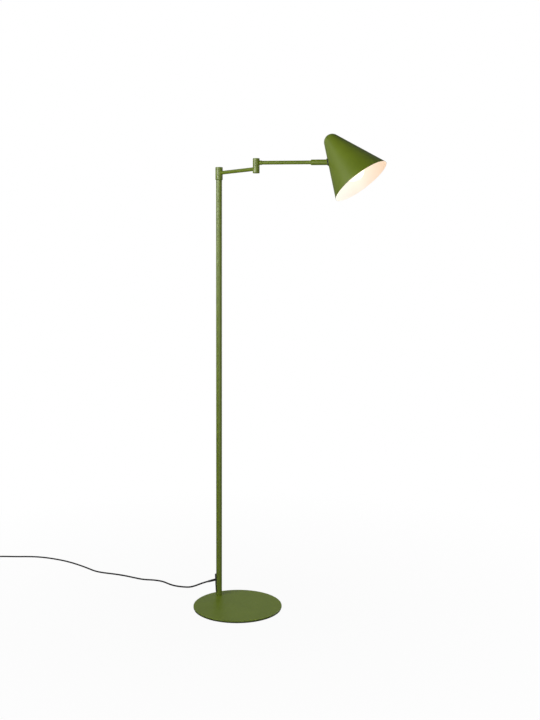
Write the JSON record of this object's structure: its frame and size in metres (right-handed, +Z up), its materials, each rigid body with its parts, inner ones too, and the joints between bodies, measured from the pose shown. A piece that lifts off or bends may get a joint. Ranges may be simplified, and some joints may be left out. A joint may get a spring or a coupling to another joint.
{
  "type": "adjustable arm floor lamp",
  "caption": "Floor lamp: round plate, slim offset pole, two swinging arms stepped in height, and a cone shade on a turning sleeve.",
  "frame": {"origin": "centre of the base plate's underside pad, on the floor", "axes": "+Z up along the pole; +X from the pole across the plate, the side the arms reach over at rest; Y completes a right-handed frame"},
  "size_m": [1.1538, 0.9167, 1.3134],
  "materials": {
    "green_paint": "satin powder coat, olive green",
    "steel": "zinc-plated steel",
    "brass": "plain brass",
    "black_rubber": "matte",
    "black_plastic": "fine matt moulding",
    "ceramic": null,
    "bulb_glass": "frosted",
    "bulb_metal": "bright",
    "cord_sheath": "smooth matt sheath",
    "pin_metal": "nickel-plated"
  },
  "bodies": {
    "base": {"base_plate": "green_paint", "base_pad": "black_rubber", "base_bolt": "steel", "base_washer": "steel", "locating_pin": "steel", "pole": "green_paint", "pole_foot": "steel", "cord_outlet": "black_rubber", "pole_cable": "cord_sheath", "cable_grip": "black_plastic", "pole_spigot": "steel", "swivel_washer": "black_plastic", "swivel_spring": "steel", "swivel_nut": "steel", "mains_cord": "cord_sheath", "switch_base": "black_plastic", "switch_cover": "black_plastic", "switch_screws": "steel", "switch_lead": "cord_sheath", "cord_coil": "cord_sheath", "coil_tie": "black_plastic", "plug_lead": "cord_sheath", "plug_body": "black_plastic", "plug_pins": "pin_metal"},
    "lower_arm": {"swivel_sleeve": "green_paint", "swivel_cap": "green_paint", "lower_arm_tube": "green_paint", "lower_arm_cable": "cord_sheath", "elbow_lower_knuckle": "green_paint", "elbow_bottom_cap": "green_paint", "elbow_pin": "steel", "elbow_washer": "black_plastic", "elbow_spring": "steel", "elbow_nut": "steel"},
    "upper_arm": {"elbow_upper_knuckle": "green_paint", "elbow_top_cap": "green_paint", "arm_collar": "green_paint", "upper_arm_tube": "green_paint", "upper_arm_cable": "cord_sheath", "head_spring": "steel", "head_retaining_ring": "steel"},
    "head": {"head_sleeve": "green_paint", "head_stem": "steel", "wall_gasket": "black_plastic", "inner_spacer": "black_plastic", "stem_nut": "brass", "shade_shell": "green_paint", "holder_strap": "steel", "holder_nipple": "steel", "holder_nut": "brass", "lamp_holder": "black_plastic", "holder_thread": "brass", "holder_contacts": "ceramic", "bulb_cap": "bulb_metal", "bulb_glass": "bulb_glass", "head_cable": "cord_sheath"},
    "rocker": {"switch_rocker": "black_plastic"}
  },
  "joints": [
    {"name": "arm_swivel", "type": "hinge", "parent": "base", "child": "lower_arm", "pos_m": [-0.1, 0, 1.2217], "axis": [0, 0, 1], "range_deg": [-176.5, 163.5]},
    {"name": "elbow_swivel", "type": "hinge", "parent": "lower_arm", "child": "upper_arm", "pos_m": [0.05897, 0.01811, 1.2297], "axis": [0, 0, 1], "range_deg": [-197, 113]},
    {"name": "head_roll", "type": "hinge", "parent": "upper_arm", "child": "head", "pos_m": [0.17139, 0.14563, 1.2377], "axis": [0.6613, 0.7501, 0], "range_deg": [-165, 165]},
    {"name": "rocker_tilt", "type": "hinge", "parent": "base", "child": "rocker", "pos_m": [-0.812, -0.461, 0.011], "axis": [1, 0, 0], "range_deg": [-14, 0]}
  ]
}
